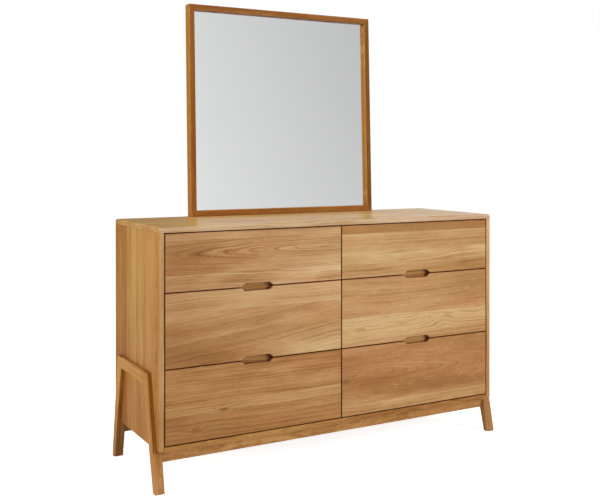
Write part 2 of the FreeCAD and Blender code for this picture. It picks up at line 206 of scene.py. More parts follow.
oakNoises = {  # repeats per metre along the grain, across and through, then detail and roughness
    "wander": ((1.7, 3.0, 3.0), 2.0, 0.5),
    "drift": ((2.4, 5.0, 5.0), 1.0, 0.5),
    "wobble": ((13.0, 38.0, 38.0), 3.0, 0.5),
    "tremble": ((60.0, 260.0, 260.0), 2.0, 0.5),
    "patch": ((3.2, 16.0, 16.0), 2.0, 0.5),
    "broad": ((1.3, 8.0, 8.0), 1.0, 0.5),
    "mottle": ((7.0, 27.0, 27.0), 2.0, 0.5),
    "streak": ((2.6, 38.0, 38.0), 4.0, 0.58),
    "dash": ((17.0, 150.0, 150.0), 3.0, 0.55),
    "fibre": ((30.0, 520.0, 520.0), 2.0, 0.6),
    "rosy": ((1.9, 11.0, 11.0), 2.0, 0.5),
    "ray": ((30.0, 260.0, 120.0), 1.0, 0.5),
    "pore": ((75.0, 1500.0, 1500.0), 1.0, 0.5),
}
boardDefaults = {  # what each board of a piece may have of its own
    "Tone": 0.5, "Rosy": 0.0, "Seed": 0.0, "Pith": 0.0, "Depth": 0.05, "Lean": 0.0, "Dive": 0.0,
    "Squeeze": 1.0, "Ring": 0.0036, "Swirl": 0.03, "Wobble": 0.008, "Fleck": 0.25, "Figure": 1.0,
}


def ringRadius(tree, given, place, noise):  # how far out from the log's wandering pith
    along, across, through = split(tree, place)
    sideways = maths(tree, "SUBTRACT", across, given["Pith"])
    sideways = maths(tree, "MULTIPLY_ADD", along, given["Lean"], sideways)
    swirl = maths(tree, "MULTIPLY", given["Swirl"], oak["swirlAcross"])
    sideways = swing(tree, noise["wander"], swirl, sideways)
    sideways = maths(tree, "MULTIPLY", sideways, given["Squeeze"])
    inward = maths(tree, "ADD", through, given["Depth"])
    inward = maths(tree, "MULTIPLY_ADD", along, given["Dive"], inward)
    inward = swing(tree, noise["drift"], given["Swirl"], inward)
    radius = maths(tree, "SQRT", maths(tree, "ADD", maths(tree, "MULTIPLY", sideways, sideways),
                                       maths(tree, "MULTIPLY", inward, inward)))
    radius = swing(tree, noise["wobble"], given["Wobble"], radius)
    radius = swing(tree, noise["tremble"], oak["tremble"], radius)
    return maths(tree, "ADD", radius, given["Bump"])


def oakTone(tree, given, noise, earlyWood):  # dark rings, and thin lines between groups of years
    figure = oak["lift"]
    for name, amount in oak["swings"].items():
        figure = swing(tree, noise[name], amount, figure)
    ringShade = maths(tree, "MULTIPLY", earlyWood, remap(tree, noise["patch"], *oak["ringPatch"]))
    figure = maths(tree, "MULTIPLY_ADD", ringShade, -oak["ringShade"], figure)
    fromLine = maths(tree, "ABSOLUTE", maths(tree, "SUBTRACT", noise["year"], 0.5))
    yearLine = remap(tree, fromLine, 0.0, oak["lineWidth"], 1.0, 0.0)
    yearLine = maths(tree, "MULTIPLY", yearLine, remap(tree, noise["patch"], *oak["linePatch"]))
    figure = maths(tree, "MULTIPLY_ADD", yearLine, -oak["lineShade"], figure)
    tone = maths(tree, "MULTIPLY_ADD", figure, given["Figure"], given["Tone"])
    return maths(tree, "MULTIPLY_ADD", given["EndGrain"], oak["endTone"], tone)


def oakColour(tree, given, noise, tone):  # rosy and olive patches, duller ends, pale ray flecks
    colour = ramp(tree, tone, oak["tones"])
    rosyShare = maths(tree, "ADD", given["Rosy"], remap(tree, noise["rosy"], *oak["rosyPatch"]))
    colour = tinted(tree, rosyShare, colour, oak["rosy"])
    colour = tinted(tree, maths(tree, "MULTIPLY", rosyShare, -1.0), colour, oak["olive"])
    colour = tinted(tree, given["EndGrain"], colour, oak["endColour"])
    rayShare = maths(tree, "MULTIPLY", remap(tree, noise["ray"], *oak["rays"]),
                     remap(tree, noise["patch"], *oak["rayPatch"]))
    rayShare = maths(tree, "MULTIPLY", rayShare, given["Fleck"])
    return mixed(tree, rayShare, colour, oak["fleckColour"])


def makeOakGroup():
    tree = bpy.data.node_groups.new("oakFigure", "ShaderNodeTree")
    face = tree.interface
    face.new_socket("Place", in_out="INPUT", socket_type="NodeSocketVector")
    for name, value in {**boardDefaults, "Bump": 0.0, "EndGrain": 0.0}.items():
        face.new_socket(name, in_out="INPUT", socket_type="NodeSocketFloat").default_value = value
    face.new_socket("Colour", in_out="OUTPUT", socket_type="NodeSocketColor")
    face.new_socket("Height", in_out="OUTPUT", socket_type="NodeSocketFloat")
    face.new_socket("Roughness", in_out="OUTPUT", socket_type="NodeSocketFloat")
    given = tree.nodes.new("NodeGroupInput").outputs
    place, seed = given["Place"], given["Seed"]
    shift = joinUp(tree, *(maths(tree, "MULTIPLY", seed, slide) for slide in oak["seedSlide"]), seed)
    noise = {name: cloud(tree, stretched(tree, place, *scale, shift), detail, roughness)
             for name, (scale, detail, roughness) in oakNoises.items()}

    # Rings: dark porous early wood that fades into the late wood, and groups of years that differ in tone
    radius = ringRadius(tree, given, place, noise)
    phase = maths(tree, "FRACT", maths(tree, "DIVIDE", radius, given["Ring"]))
    earlyWood = remap(tree, phase, 0.0, oak["earlyEnd"], 1.0, 0.0)
    earlyWood = maths(tree, "MAXIMUM", earlyWood, remap(tree, phase, oak["lateStart"], 1.0))
    years = oak["years"]
    yearPlace = joinUp(tree, maths(tree, "MULTIPLY", radius, years["scale"]), seed, 0.0)
    noise["year"] = cloud(tree, yearPlace, years["detail"], years["roughness"])
    colour = oakColour(tree, given, noise, oakTone(tree, given, noise, earlyWood))

    # Pores: short dark dashes, most of them in the early wood
    poreShare = maths(tree, "MULTIPLY", remap(tree, noise["pore"], *oak["pores"]),
                      maths(tree, "MULTIPLY_ADD", earlyWood, *oak["poreShares"]))
    colour = mixed(tree, poreShare, colour, oak["poreColour"])
    fibres = maths(tree, "MULTIPLY", noise["fibre"], oak["fibreRelief"])
    height = maths(tree, "MULTIPLY_ADD", poreShare, -1.0, fibres)
    height = maths(tree, "MULTIPLY_ADD", earlyWood, oak["earlyRelief"], height)
    roughness = remap(tree, noise["streak"], *noiseRange, *oak["roughness"])
    roughness = maths(tree, "MULTIPLY_ADD", poreShare, oak["poreRoughness"], roughness)
    result = tree.nodes.new("NodeGroupOutput").inputs
    for name, value in (("Colour", colour), ("Height", height), ("Roughness", roughness)):
        tree.links.new(value, result[name])
    return tree


oakGroup = makeOakGroup()
print("oak figure group made")


# What a board has unless its piece says otherwise. The axes pick which of x, y and z run along the grain,
# across the glued boards and through the thickness; everything is measured from the origin
oakUsual = {
    "axes": "XZY", "origin": (0.0, 0.0, 0.0), "slant": 0.0, "boards": ({},), "edges": (), "glueLine": 0.3,
    "knots": (), "blushes": (), "faces": {}, "faceStart": {}, "plies": None, "tint": None,
    # painted shade: the tint and span of the occlusion that darkens the wood in gaps and where pieces touch
    "crevice": (0.46, 0.17, 0.09), "creviceSpan": (0.15, 0.58), "endShare": 1.0, "arris": 0.3,
    "gloss": 0.3, "polish": 0.0,
}


def stepped(tree, place, edges, values):  # one value per board of a glued panel, changing at the glue lines
    total = values[0]
    for edge, before, after in zip(edges, values, values[1:]):
        if after != before:
            past = maths(tree, "GREATER_THAN", place, edge)
            total = maths(tree, "MULTIPLY_ADD", past, after - before, total)
    return total


def reached(tree, parts, spot):  # squared distance from a spot, in its own lengths and widths
    (along, across), (length, width) = spot["at"], spot["size"]
    dx = maths(tree, "SUBTRACT", parts[0], along)
    dy = maths(tree, "SUBTRACT", parts[1], across)
    dy = maths(tree, "MULTIPLY_ADD", dx, -spot.get("lean", 0.0), dy)
    dx = maths(tree, "DIVIDE", dx, length)
    dy = maths(tree, "DIVIDE", dy, width)
    return maths(tree, "ADD", maths(tree, "MULTIPLY", dx, dx), maths(tree, "MULTIPLY", dy, dy))


def swollen(tree, reach):
    return maths(tree, "EXPONENT", maths(tree, "MULTIPLY", reach, -1.0))


def boardValues(tree, look, parts):  # each board's own values, with the soft blushes laid over them
    values = {}
    for key, usual in boardDefaults.items():
        ownValues = [board.get(key, usual) for board in look["boards"]]
        values[key] = stepped(tree, parts[1], look["edges"], ownValues)
    cool = 0.0
    for blush in look["blushes"]:
        swell = swollen(tree, reached(tree, parts, blush))
        values["Tone"] = maths(tree, "MULTIPLY_ADD", swell, blush.get("tone", 0.0), values["Tone"])
        values["Rosy"] = maths(tree, "MULTIPLY_ADD", swell, blush.get("rosy", 0.0), values["Rosy"])
        if "cool" in blush:
            cool = maths(tree, "MULTIPLY_ADD", swell, blush["cool"], cool)
    return values, cool


def figured(tree, look, where, facing):  # the colour, height and roughness of one piece's wood
    parts = [maths(tree, "SUBTRACT", where[index], look["origin"][index])
             for index in ("XYZ".index(axis) for axis in look["axes"])]
    if look["slant"]:
        parts[1] = maths(tree, "MULTIPLY_ADD", parts[0], -look["slant"], parts[1])
    group = tree.nodes.new("ShaderNodeGroup")
    group.node_tree = oakGroup
    feed(tree, group.inputs["Place"], joinUp(tree, *parts))
    endFace = remap(tree, facing[look["axes"][0]], *oak["endFacing"])
    feed(tree, group.inputs["EndGrain"], maths(tree, "MULTIPLY", endFace, look["endShare"]))
    values, cool = boardValues(tree, look, parts)
    calm = maths(tree, "MULTIPLY_ADD", endFace, -oak["endCalm"], 1.0)
    values["Figure"] = maths(tree, "MULTIPLY", values["Figure"], calm)
    for key, value in values.items():
        feed(tree, group.inputs[key], value)

    colour, push = group.outputs["Colour"], 0.0
    for knot in look["knots"]:
        reach = reached(tree, parts, knot)
        push = maths(tree, "MULTIPLY_ADD", swollen(tree, reach), knot["push"], push)
        if "dark" in knot:
            core = remap(tree, reach, 0.0, knot["core"] ** 2, knot["dark"], 0.0)
            colour = mixed(tree, core, colour, oak["knotColour"])
    feed(tree, group.inputs["Bump"], push)
    for edge in look["edges"]:
        away = maths(tree, "ABSOLUTE", maths(tree, "SUBTRACT", parts[1], edge))
        seam = remap(tree, away, 0.0, oak["glueReach"], look["glueLine"], 0.0)
        colour = mixed(tree, seam, colour, oak["poreColour"])
    if look["plies"]:
        cut = remap(tree, facing[look["axes"][2]], *oak["sideFacing"], 1.0, 0.0)
        layer = maths(tree, "FRACT", maths(tree, "DIVIDE", parts[2], look["plies"]))
        waver = cloud(tree, stretched(tree, joinUp(tree, *parts), *oak["plyGrain"]))
        layer = swing(tree, waver, oak["plySwing"], layer)
        colour = mixed(tree, cut, colour, ramp(tree, layer, oak["plies"]))
    # faces are tinted by the way they face; some of these tints are painted light and painted shade, and a
    # painted shade may start partway along the grain
    for axis, tint in look["faces"].items():
        share = remap(tree, facing[axis], *oak["sideFacing"])
        if axis in look["faceStart"]:
            start = look["faceStart"][axis]
            begun = remap(tree, parts[0], start - oak["faceBlend"], start + oak["faceBlend"])
            share = maths(tree, "MULTIPLY", share, begun)
        colour = tinted(tree, share, colour, tint)
    if look["tint"]:
        colour = tinted(tree, 1.0, colour, look["tint"])
    if cool:
        colour = tinted(tree, cool, colour, oak["cool"])
    return colour, group.outputs["Height"], group.outputs["Roughness"]


def placed(tree):  # where on the piece, and how squarely its surface faces each axis
    coordinates = tree.nodes.new("ShaderNodeTexCoord").outputs
    normal = split(tree, coordinates["Normal"])
    facing = {axis: maths(tree, "ABSOLUTE", normal[index]) for index, axis in enumerate("XYZ")}
    return split(tree, coordinates["Object"]), facing


def finished(tree, shader, look, facing, colour, height, roughness):
    skew = 0.0  # the eased edges face two ways at once, and are painted paler, as a painted highlight
    for one, two in ("XY", "YZ", "XZ"):
        skew = maths(tree, "MAXIMUM", maths(tree, "MULTIPLY", facing[one], facing[two]), skew)
    edgeHighlightShare = remap(tree, skew, *oak["arrisSkew"], 0.0, look["arris"])
    colour = tinted(tree, edgeHighlightShare, colour, oak["arrisColour"])
    occlusion = tree.nodes.new("ShaderNodeAmbientOcclusion")  # painted shade: the wood's colour is darkened where two pieces nearly touch
    occlusion.samples = oak["creviceSamples"]
    occlusion.inputs["Distance"].default_value = oak["creviceReach"]
    gapShadeShare = remap(tree, occlusion.outputs["AO"], *look["creviceSpan"], 1.0, 0.0)
    colour = tinted(tree, gapShadeShare, colour, look["crevice"])
    feed(tree, shader.inputs["Base Color"], colour)
    feed(tree, shader.inputs["Roughness"], maths(tree, "SUBTRACT", roughness, look["polish"]))
    relief(tree, shader, height, oak["grainDepth"])
    shader.inputs["Specular IOR Level"].default_value = look["gloss"]


def oakMaterial(name, look):
    look = {**oakUsual, **look}
    material, tree, shader = newMaterial(name)
    where, facing = placed(tree)
    finished(tree, shader, look, facing, *figured(tree, look, where, facing))
    return material


# Drawer fronts. The edges of their boards are shares of the front's height; spots count from its lower left
# corner, first along it and then up it
# painted shade: the fronts are darkened to a deep red-brown in the gaps between them, with no painted edge
# highlight
frontUsual = {"crevice": (0.45, 0.03, 0.003), "creviceSpan": (0.40, 0.97), "arris": 0.0,
              "tint": (0.88, 0.96, 1.08)}
fronts = {
    "top_left": {
        "edges": (0.28, 0.87),
        "boards": ({"Tone": 0.60, "Rosy": 0.1, "Seed": 1.0, "Pith": -0.10},
                   {"Tone": 0.53, "Rosy": 0.4, "Seed": 2.0, "Pith": 0.123, "Depth": 0.036, "Dive": -0.06,
                    "Swirl": 0.008, "Ring": 0.0056, "Wobble": 0.006, "Figure": 0.8},
                   {"Tone": 0.55, "Rosy": 0.1, "Seed": 3.0, "Pith": 0.60}),
        "blushes": ({"at": (0.06, 0.105), "size": (0.13, 0.045), "tone": -0.18, "rosy": 0.5},
                    {"at": (0.58, 0.06), "size": (0.22, 0.04), "tone": 0.13, "rosy": -0.4},
                    {"at": (0.62, 0.15), "size": (0.16, 0.04), "tone": 0.07, "rosy": -0.3},
                    {"at": (0.08, 0.01), "size": (0.18, 0.04), "tone": -0.05, "rosy": 0.7},
                    {"at": (0.36, 0.095), "size": (0.14, 0.025), "tone": -0.07}),
        "tint": (0.88, 0.96, 1.14),
    },
    "middle_left": {
        "edges": (0.72,),
        "boards": ({"Tone": 0.52, "Rosy": 0.2, "Seed": 4.0, "Pith": 0.30, "Lean": -0.105, "Depth": 0.02,
                    "Figure": 0.9},
                   {"Tone": 0.61, "Rosy": -0.2, "Seed": 5.0, "Pith": -0.20, "Figure": 0.7}),
        "blushes": ({"at": (0.09, 0.036), "size": (0.26, 0.045), "tone": -0.24, "rosy": -0.1},
                    {"at": (0.03, 0.130), "size": (0.12, 0.030), "tone": -0.12, "rosy": 0.2},
                    {"at": (0.25, 0.238), "size": (0.45, 0.020), "tone": 0.10},
                    {"at": (0.02, 0.215), "size": (0.20, 0.040), "tone": -0.03, "rosy": 0.7},
                    {"at": (0.62, 0.186), "size": (0.16, 0.022), "tone": 0.06},
                    {"at": (0.64, 0.025), "size": (0.17, 0.040), "lean": 0.10, "tone": 0.20, "rosy": -0.5}),
    },
    "bottom_left": {
        "edges": (0.36, 0.50),
        "boards": ({"Tone": 0.43, "Rosy": 0.7, "Seed": 6.0, "Pith": -0.12},
                   {"Tone": 0.54, "Rosy": 0.6, "Seed": 7.0, "Pith": -0.20, "Swirl": 0.02},
                   {"Tone": 0.45, "Rosy": 1.0, "Seed": 8.0, "Pith": 0.40}),
        "blushes": ({"at": (0.25, 0.008), "size": (0.60, 0.025), "tone": -0.08},
                    {"at": (0.02, 0.070), "size": (0.10, 0.020), "tone": -0.08},
                    {"at": (0.62, 0.205), "size": (0.30, 0.045), "tone": 0.08}),
        "knots": ({"at": (0.210, 0.095), "size": (0.030, 0.010), "push": 0.012, "core": 0.80, "dark": 0.90},
                  {"at": (0.109, 0.036), "size": (0.030, 0.010), "push": 0.012, "core": 0.90, "dark": 0.70}),
        "tint": (0.88, 0.97, 1.00),
    },
    "top_right": {
        "edges": (0.25, 0.50, 0.84),
        "boards": ({"Tone": 0.53, "Rosy": -0.3, "Seed": 9.0, "Pith": -0.20, "Lean": -0.02},
                   {"Tone": 0.62, "Rosy": -0.6, "Seed": 10.0, "Pith": 0.30, "Lean": -0.05},
                   {"Tone": 0.57, "Rosy": -0.2, "Seed": 11.0, "Pith": 0.40, "Swirl": 0.02, "Figure": 0.7},
                   {"Tone": 0.39, "Rosy": 0.0, "Seed": 12.0, "Pith": 0.70, "Swirl": 0.02, "Figure": 0.6}),
        "blushes": ({"at": (0.56, 0.030), "size": (0.030, 0.012), "tone": -0.06, "rosy": 1.0},
                    {"at": (0.30, 0.080), "size": (0.16, 0.018), "tone": 0.08},
                    {"at": (0.06, 0.148), "size": (0.20, 0.030), "tone": 0.10},
                    {"at": (0.45, 0.112), "size": (0.40, 0.014), "tone": -0.08},
                    {"at": (0.65, 0.008), "size": (0.26, 0.030), "tone": -0.17}),
    },
    "middle_right": {
        "edges": (0.43,),
        "boards": ({"Tone": 0.63, "Rosy": -0.7, "Seed": 13.0, "Pith": 0.058, "Lean": -0.03, "Depth": 0.03,
                    "Ring": 0.0060, "Figure": 0.65},
                   {"Tone": 0.52, "Rosy": 0.2, "Seed": 14.0, "Pith": 0.50, "Fleck": 0.5, "Figure": 0.6}),
        "blushes": ({"at": (0.62, 0.185), "size": (0.22, 0.060), "tone": -0.11},
                    {"at": (0.20, 0.080), "size": (0.30, 0.030), "tone": 0.05},
                    {"at": (0.66, 0.020), "size": (0.20, 0.035), "tone": -0.14, "rosy": 0.3},
                    {"at": (0.30, 0.005), "size": (0.40, 0.022), "tone": -0.07, "rosy": 0.5}),
        "knots": ({"at": (0.462, 0.058), "size": (0.060, 0.022), "push": 0.012},),
    },
    "bottom_right": {
        "edges": (0.16,),
        "boards": ({"Tone": 0.51, "Rosy": 0.2, "Seed": 15.0, "Pith": -0.30},
                   {"Tone": 0.42, "Rosy": 0.8, "Seed": 17.3, "Pith": 0.137, "Depth": 0.030, "Dive": 0.26,
                    "Squeeze": 5.0, "Swirl": 0.03, "Fleck": 0.4, "Ring": 0.0044}),
        "knots": ({"at": (0.017, 0.127), "size": (0.034, 0.013), "push": 0.010,
                   "core": 0.75, "dark": 0.75},),
        "blushes": ({"at": (0.05, 0.115), "size": (0.12, 0.030), "tone": -0.05, "rosy": 0.8},
                    {"at": (0.03, 0.060), "size": (0.16, 0.025), "tone": 0.07},
                    {"at": (0.03, 0.235), "size": (0.16, 0.025), "tone": 0.08},
                    {"at": (0.66, 0.235), "size": (0.14, 0.025), "tone": -0.07},
                    {"at": (0.58, 0.070), "size": (0.22, 0.020), "tone": -0.04},
                    {"at": (0.30, 0.045), "size": (0.60, 0.018), "tone": 0.05}),
        "tint": (0.88, 0.97, 1.03),
    },
}
for front, look in fronts.items():
    low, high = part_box(front + "_front")
    look = {**frontUsual, **look, "origin": low}
    look["edges"] = [share * (high.z - low.z) for share in look["edges"]]
    dress(front + "_front", oakMaterial(front + "Oak", look))
print("drawer fronts dressed")


# Carcass boards: staves stand upright in the sides, boards run along the top
sides = {
    "axes": "ZYX",
    "edges": (0.037, 0.156, 0.229, 0.327),
    "boards": ({"Tone": 0.52, "Rosy": 0.9, "Seed": 20.0, "Pith": 0.02, "Figure": 0.7},
               {"Tone": 0.55, "Rosy": 0.3, "Seed": 21.0, "Figure": 0.7},
               {"Tone": 0.54, "Rosy": -0.3, "Seed": 22.0, "Figure": 0.7},
               {"Tone": 0.59, "Rosy": -0.4, "Seed": 23.0, "Figure": 0.7},
               {"Tone": 0.45, "Rosy": 0.4, "Seed": 24.0, "Figure": 0.7}),
    "blushes": ({"at": (0.15, 0.40), "size": (0.30, 0.06), "tone": -0.06},
                {"at": (0.70, 0.15), "size": (0.25, 0.20), "tone": 0.04},
                {"at": (0.05, 0.20), "size": (0.22, 0.50), "tone": -0.10, "rosy": 0.8}),
    "rightSeedStep": 0.5,
    "faces": {"Y": (1.04, 1.34, 2.15)},
    "tint": (0.93, 0.91, 0.69),
    "glueLine": 0.2,
    "gloss": 0.1,
    "crevice": (0.42, 0.05, 0.01),
}
top = {
    "axes": "XYZ",
    "edges": (0.075, 0.160, 0.250, 0.345),
    "boards": ({"Tone": 0.67, "Rosy": -0.2, "Seed": 30.0}, {"Tone": 0.62, "Seed": 31.0, "Pith": 0.3},
               {"Tone": 0.69, "Rosy": -0.3, "Seed": 32.0}, {"Tone": 0.63, "Seed": 33.0},
               {"Tone": 0.66, "Rosy": -0.3, "Seed": 34.0}),
    "blushes": ({"at": (0.0, 0.40), "size": (0.20, 0.12), "tone": -0.02},
                {"at": (0.03, 0.46), "size": (0.07, 0.04), "tone": -0.15},
                # painted sheen: the top's right-hand end is painted paler and cooler, as a reflection of the
                # pale studio
                {"at": (1.40, 0.23), "size": (0.80, 1.00), "cool": 0.45}),
    "faces": {"Y": (0.82, 0.92, 1.60), "X": (0.92, 0.88, 0.95)},
    "tint": (1.05, 1.08, 0.77),
    "endShare": 0.25,
    "gloss": 0.5,
    "polish": 0.15,
}
bottom = {
    "axes": "XYZ",
    "boards": ({"Tone": 0.47, "Rosy": -0.2, "Seed": 35.0, "Pith": 0.3},),
    "tint": (0.97, 0.99, 0.86),
    "crevice": (0.42, 0.05, 0.01),
}
for side, seedStep in (("left", 0.0), ("right", sides["rightSeedStep"])):
    name = side + "_side_panel"
    boards = [{**board, "Seed": board["Seed"] + seedStep} for board in sides["boards"]]
    dress(name, oakMaterial(side + "SideOak", {**sides, "origin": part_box(name)[0], "boards": boards}))
dress("top_panel", oakMaterial("topOak", {**top, "origin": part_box("top_panel")[0]}))
dress("bottom_panel", oakMaterial("bottomOak", {**bottom, "origin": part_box("bottom_panel")[0]}))


# Boards inside the carcass, and the oak-faced plywood of the back, laid up in leaves
inner = {"boards": ({"Tone": 0.60, "Rosy": -0.2, "Seed": 36.0, "Pith": 0.4, "Figure": 0.7},), "gloss": 0.2}
frontRails = {"board": {"Tone": 0.56, "Rosy": -0.2, "Pith": 0.3}, "seeds": {"lower": 37.0, "upper": 38.0},
              "tint": (0.70, 0.65, 0.56), "gloss": 0.2}
back = {
    "edges": (0.155, 0.335, 0.520),
    "boards": ({"Tone": 0.60, "Seed": 45.0, "Pith": 0.05, "Ring": 0.006},
               {"Tone": 0.63, "Seed": 46.0, "Pith": 0.24},
               {"Tone": 0.60, "Seed": 47.0, "Pith": 0.44, "Ring": 0.006},
               {"Tone": 0.64, "Seed": 48.0, "Pith": 0.63}),
    "plies": 0.003,
    "glueLine": 0.15,
    "gloss": 0.2,
}
dress("centre_divider", oakMaterial("dividerOak", {**inner, "axes": "YZX"}))
dress("back_rails", oakMaterial("backRailOak", {**inner, "axes": "XZY"}))
for row, seed in frontRails["seeds"].items():
    rail = {**frontRails, "boards": ({**frontRails["board"], "Seed": seed},)}
    dress(row + "_front_rails", oakMaterial(row + "RailOak", rail))
dress("back_panel", oakMaterial("backPlywood", {**back, "origin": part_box("back_panel")[0]}))
print("carcass dressed")


# Trestles: straight-grained sticks, golden outside, with their front- and rear-facing faces tinted. On the
# left trestle that tint is a painted shade, browner and darker, and on its legs it starts at the carcass's
# underside
trestles = {
    "leg": {"Tone": 0.50, "Rosy": 0.0, "Pith": 0.09, "Figure": 0.8},
    "legSeeds": {"left_front": 50.0, "left_rear": 51.0, "right_front": 52.0, "right_rear": 53.0},
    "rail": {"Tone": 0.52, "Rosy": 0.0, "Pith": 0.7, "Figure": 0.8},
    "railSeeds": {"left": 55.0, "right": 56.0},
    "slants": {"front": 0.246, "rear": -0.193},
    # painted shade: the left trestle's front- and rear-facing faces are painted browner and darker, on the
    # legs from the carcass's underside up
    "faces": {"left": {"X": (1.08, 1.06, 1.0), "Y": (0.93, 0.84, 0.54)},
              "right": {"X": (1.08, 1.06, 1.0), "Y": (0.84, 0.90, 1.04)}},
    "faceStart": {"left": {"Y": 0.13}, "right": {}},
    "feet": ({"at": (0.04, 0.0), "size": (0.12, 9.0), "tone": -0.05, "cool": 0.9},),
    "finish": {"tint": (0.99, 0.97, 0.72), "crevice": (0.72, 0.60, 0.50), "arris": 0.6, "gloss": 0.1},
}
for side in ("left", "right"):
    common = {**trestles["finish"], "faces": trestles["faces"][side]}
    for end, slant in trestles["slants"].items():
        board = {**trestles["leg"], "Seed": trestles["legSeeds"][side + "_" + end]}
        look = {**common, "axes": "ZYX", "slant": slant, "boards": (board,), "blushes": trestles["feet"],
                "faceStart": trestles["faceStart"][side]}
        dress(side + "_" + end + "_leg", oakMaterial(side + end.capitalize() + "LegOak", look))
    board = {**trestles["rail"], "Seed": trestles["railSeeds"][side]}
    look = {**common, "axes": "YZX", "boards": (board,)}
    dress(side + "_leg_rail", oakMaterial(side + "LegRailOak", look))

aprons = {
    "boards": ({"Tone": 0.45, "Rosy": 0.1, "Seed": 60.0, "Pith": 0.115, "Swirl": 0.02, "Figure": 0.7},),
    "blushes": ({"at": (0.35, 0.115), "size": (0.35, 0.10), "tone": -0.04},
                {"at": (-0.35, 0.115), "size": (0.25, 0.10), "tone": 0.05}),
    "tint": (0.97, 1.0, 0.90),
    "starts": {"front": 0.0, "rear": 3.0},  # sawn from two stretches of one board
}
for end, start in aprons["starts"].items():
    dress(end + "_apron", oakMaterial(end + "ApronOak", {**aprons, "origin": (start, 0.0, 0.0)}))
print("trestles dressed")


# Drawer boxes: each corner shows whose wood it is, tail by tail and pin by pin
box = {
    "wall": 0.012,
    "backLift": 0.018,
    "backDrop": 0.008,
    "tailSpacing": 0.048,
    "halfPin": 0.0035,
    "slope": 0.16,
    "seam": 0.0004,
    "seamShade": 0.6,
    "firstSeed": 70.0,
    "backSeedStep": 0.5,
    "bottomSeedStep": 0.3,
    "side": {"axes": "YZX", "boards": ({"Tone": 0.60, "Rosy": 0.0, "Pith": 0.02, "Figure": 0.8},),
             "gloss": 0.2},
    "back": {"axes": "XZY", "boards": ({"Tone": 0.63, "Rosy": -0.2, "Pith": 0.30, "Figure": 0.8},),
             "gloss": 0.2},
    "bottom": {"axes": "XYZ", "boards": ({"Tone": 0.68, "Rosy": -0.3, "Figure": 0.5},), "plies": 0.002,
               "gloss": 0.2},
}


def seeded(look, seed):
    return {**look, "boards": [{**board, "Seed": seed} for board in look["boards"]]}


def boxWallMaterial(name, low, high, seed):
    material, tree, shader = newMaterial(name)
    where, facing = placed(tree)
    fromMiddle = maths(tree, "ABSOLUTE", maths(tree, "SUBTRACT", where[0], (low.x + high.x) / 2))
    between = maths(tree, "LESS_THAN", fromMiddle, (high.x - low.x) / 2 - box["wall"])
    atBack = maths(tree, "GREATER_THAN", where[1], high.y - box["wall"])
    backLow, backHigh = low.z + box["backLift"], high.z - box["backDrop"]
    step = (backHigh - backLow) / max(1, round((backHigh - backLow) / box["tailSpacing"]))
    turn = maths(tree, "FRACT", maths(tree, "DIVIDE", maths(tree, "SUBTRACT", where[2], backLow), step))
    fromPin = maths(tree, "SUBTRACT", 0.5, maths(tree, "ABSOLUTE", maths(tree, "SUBTRACT", turn, 0.5)))
    fromPin = maths(tree, "MULTIPLY", fromPin, step)
    fromEnd = maths(tree, "SUBTRACT", high.y, where[1])
    halfPin = maths(tree, "MULTIPLY_ADD", fromEnd, box["slope"], box["halfPin"])
    pin = maths(tree, "LESS_THAN", fromPin, halfPin)
    for operation, limit in (("GREATER_THAN", backLow), ("LESS_THAN", backHigh)):
        pin = maths(tree, "MULTIPLY", pin, maths(tree, operation, where[2], limit))
    backShare = maths(tree, "MULTIPLY", atBack, maths(tree, "MAXIMUM", between, pin))
    sideWood = figured(tree, {**oakUsual, **seeded(box["side"], seed)}, where, facing)
    backWood = figured(tree, {**oakUsual, **seeded(box["back"], seed + box["backSeedStep"])}, where, facing)
    colour = mixed(tree, backShare, sideWood[0], backWood[0])
    off = maths(tree, "ABSOLUTE", maths(tree, "SUBTRACT", fromPin, halfPin))
    seam = maths(tree, "MULTIPLY", remap(tree, off, 0.0, box["seam"], box["seamShade"], 0.0), atBack)
    seam = maths(tree, "MULTIPLY", seam, maths(tree, "SUBTRACT", 1.0, between))
    colour = mixed(tree, seam, colour, oak["poreColour"])
    finished(tree, shader, {**oakUsual, **box["side"]}, facing, colour, *sideWood[1:])
    return material


for index, drawer in enumerate(fronts):
    seed = box["firstSeed"] + index
    walls = drawer + "_box_walls"
    dress(walls, boxWallMaterial(drawer + "BoxOak", *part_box(walls), seed))
    ply = seeded(box["bottom"], seed + box["bottomSeedStep"])
    dress(drawer + "_box_bottom", oakMaterial(drawer + "BoxPlywood", ply))
print("drawer boxes dressed")


# Mirror frame: browner oak, straight-grained along each piece. Its stiles' sides and the bottom rail's top
# and bottom faces are painted paler than its face, as painted light
mirrorFrame = {
    "left_stile": {"axes": "ZXY", "boards": ({"Tone": 0.205, "Rosy": 0.3, "Pith": 0.3, "Figure": 0.8},),
                   "faces": {"X": (1.72, 1.98, 1.72)}},
    # painted light: the right stile's sides, its shaded inner side among them, are painted far paler; its
    # face is tinted darker
    "right_stile": {"axes": "ZXY", "boards": ({"Tone": 0.12, "Rosy": 0.0, "Pith": 0.3, "Figure": 0.8},),
                    "faces": {"X": (2.35, 3.15, 3.90), "Y": (0.76, 0.86, 0.88)}},
    "top_rail": {"axes": "XZY", "boards": ({"Tone": 0.19, "Rosy": 0.0, "Pith": 0.3, "Figure": 1.0},),
                 "tint": (0.92, 0.96, 1.00)},
    "bottom_rail": {"axes": "XZY", "boards": ({"Tone": 0.22, "Rosy": 0.2, "Pith": 0.3, "Figure": 1.0},),
                    "faces": {"Z": (1.25, 1.35, 1.5)}},
}
mirrorFinish = {"tint": (0.92, 0.90, 0.80), "arris": 0.6, "gloss": 0.1, "firstSeed": 80.0}
batten = {"axes": "ZXY", "boards": ({"Tone": 0.52, "Pith": 0.4, "Seed": 84.0, "Figure": 0.8},)}
for index, (piece, look) in enumerate(mirrorFrame.items()):
    look = seeded({**mirrorFinish, **look}, mirrorFinish["firstSeed"] + index)
    name = "mirror_" + piece
    dress(name, oakMaterial("frameOak" + name.title().replace("_", ""), look))
dress("mirror_supports", oakMaterial("battenOak", batten))


